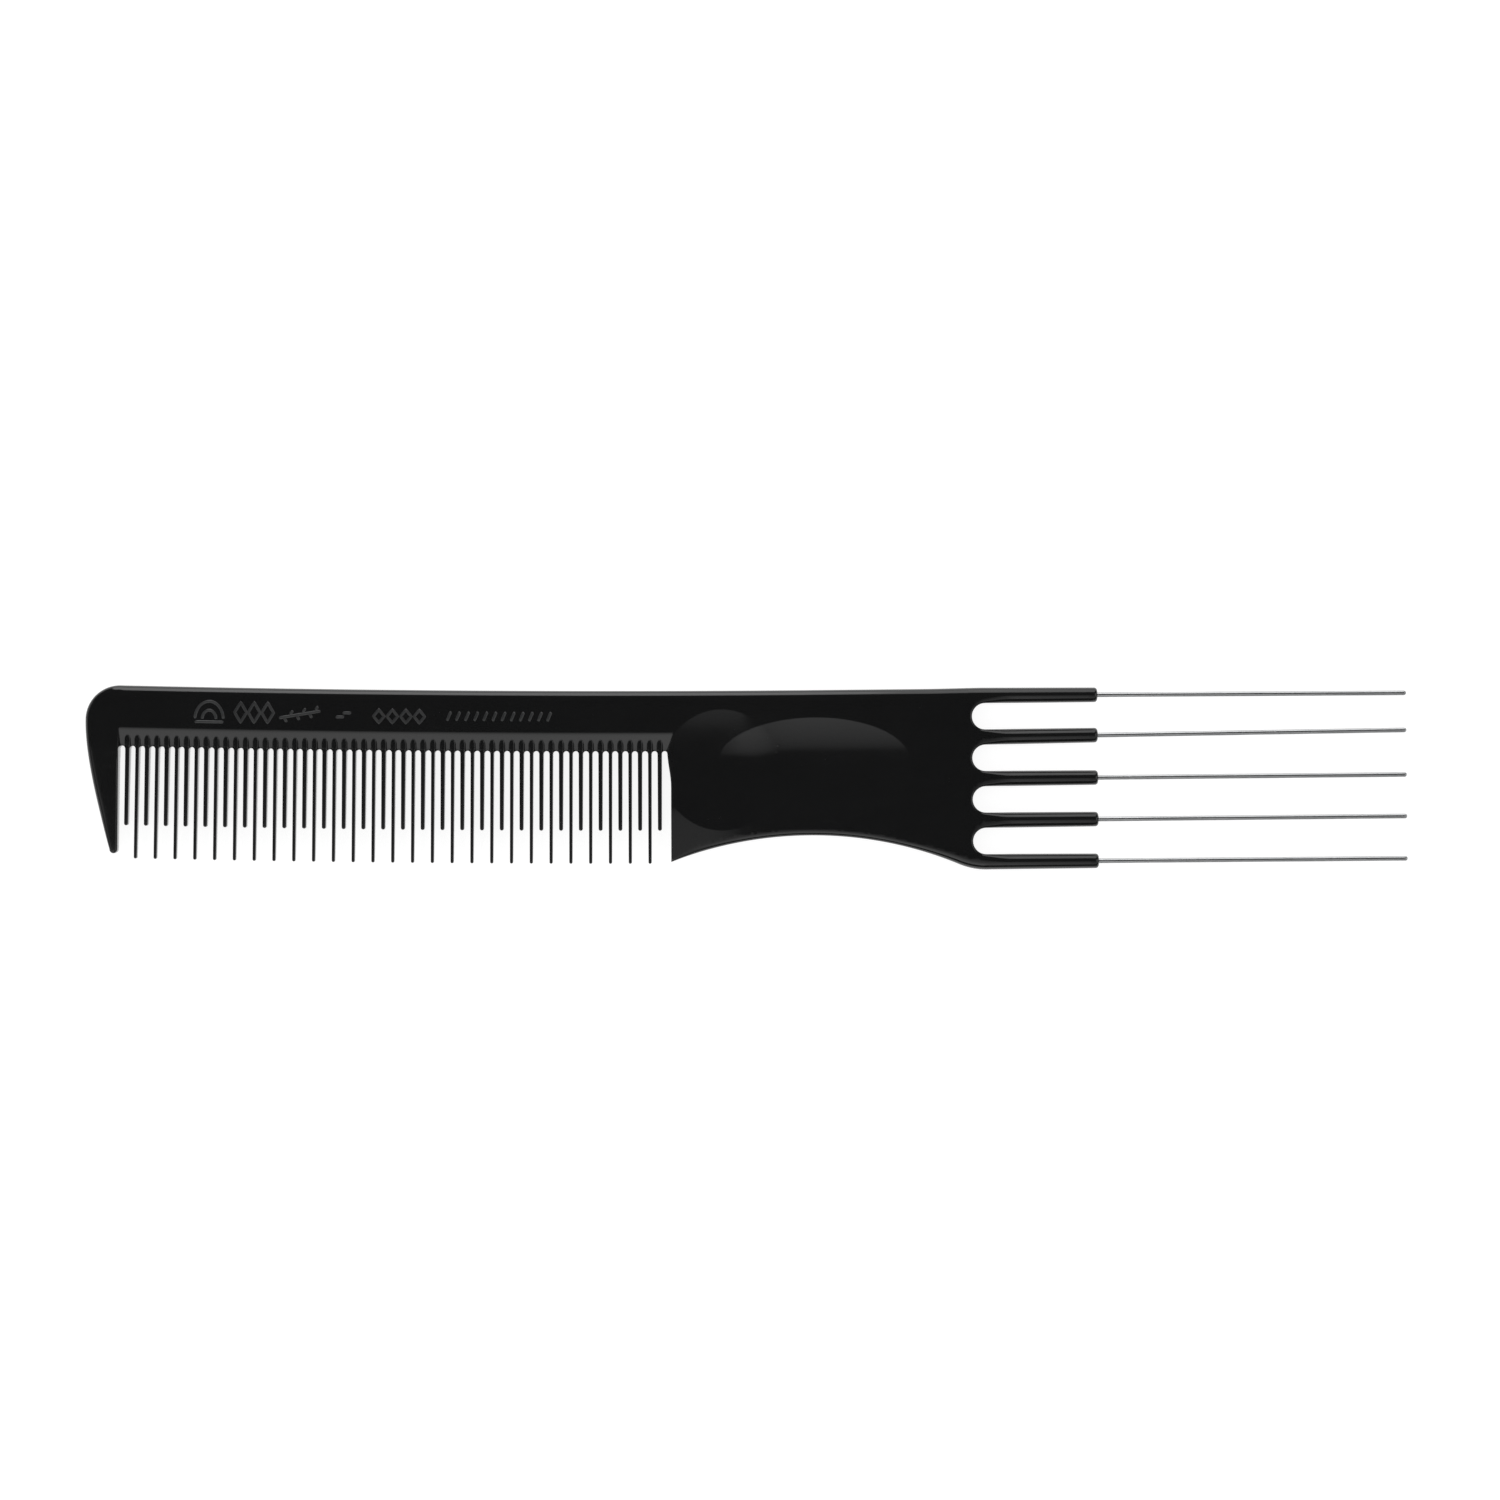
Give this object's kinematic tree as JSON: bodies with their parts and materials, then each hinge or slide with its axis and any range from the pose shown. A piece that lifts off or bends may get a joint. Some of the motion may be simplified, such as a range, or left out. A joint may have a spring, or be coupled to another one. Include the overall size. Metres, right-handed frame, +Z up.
{
  "type": "teasing and lift comb",
  "caption": "Flat moulded hair comb with alternating short and long teeth, a guard tooth, a waisted handle with a thumb dish, and a fork tail of straight steel lift pins.",
  "frame": {"origin": "middle of the comb's length and height, on the plane it lies on", "axes": "+X along the fork towards the pin tips, +Y from the teeth towards the spine, +Z up out of the face"},
  "size_m": [0.21, 0.0306, 0.004],
  "materials": {
    "body_plastic": "polished black moulding",
    "pin_steel": "bright drawn wire"
  },
  "bodies": {
    "root": {"comb_body": "body_plastic", "lift_pin_1": "pin_steel", "lift_pin_2": "pin_steel", "lift_pin_3": "pin_steel", "lift_pin_4": "pin_steel", "lift_pin_5": "pin_steel"}
  },
  "joints": []
}
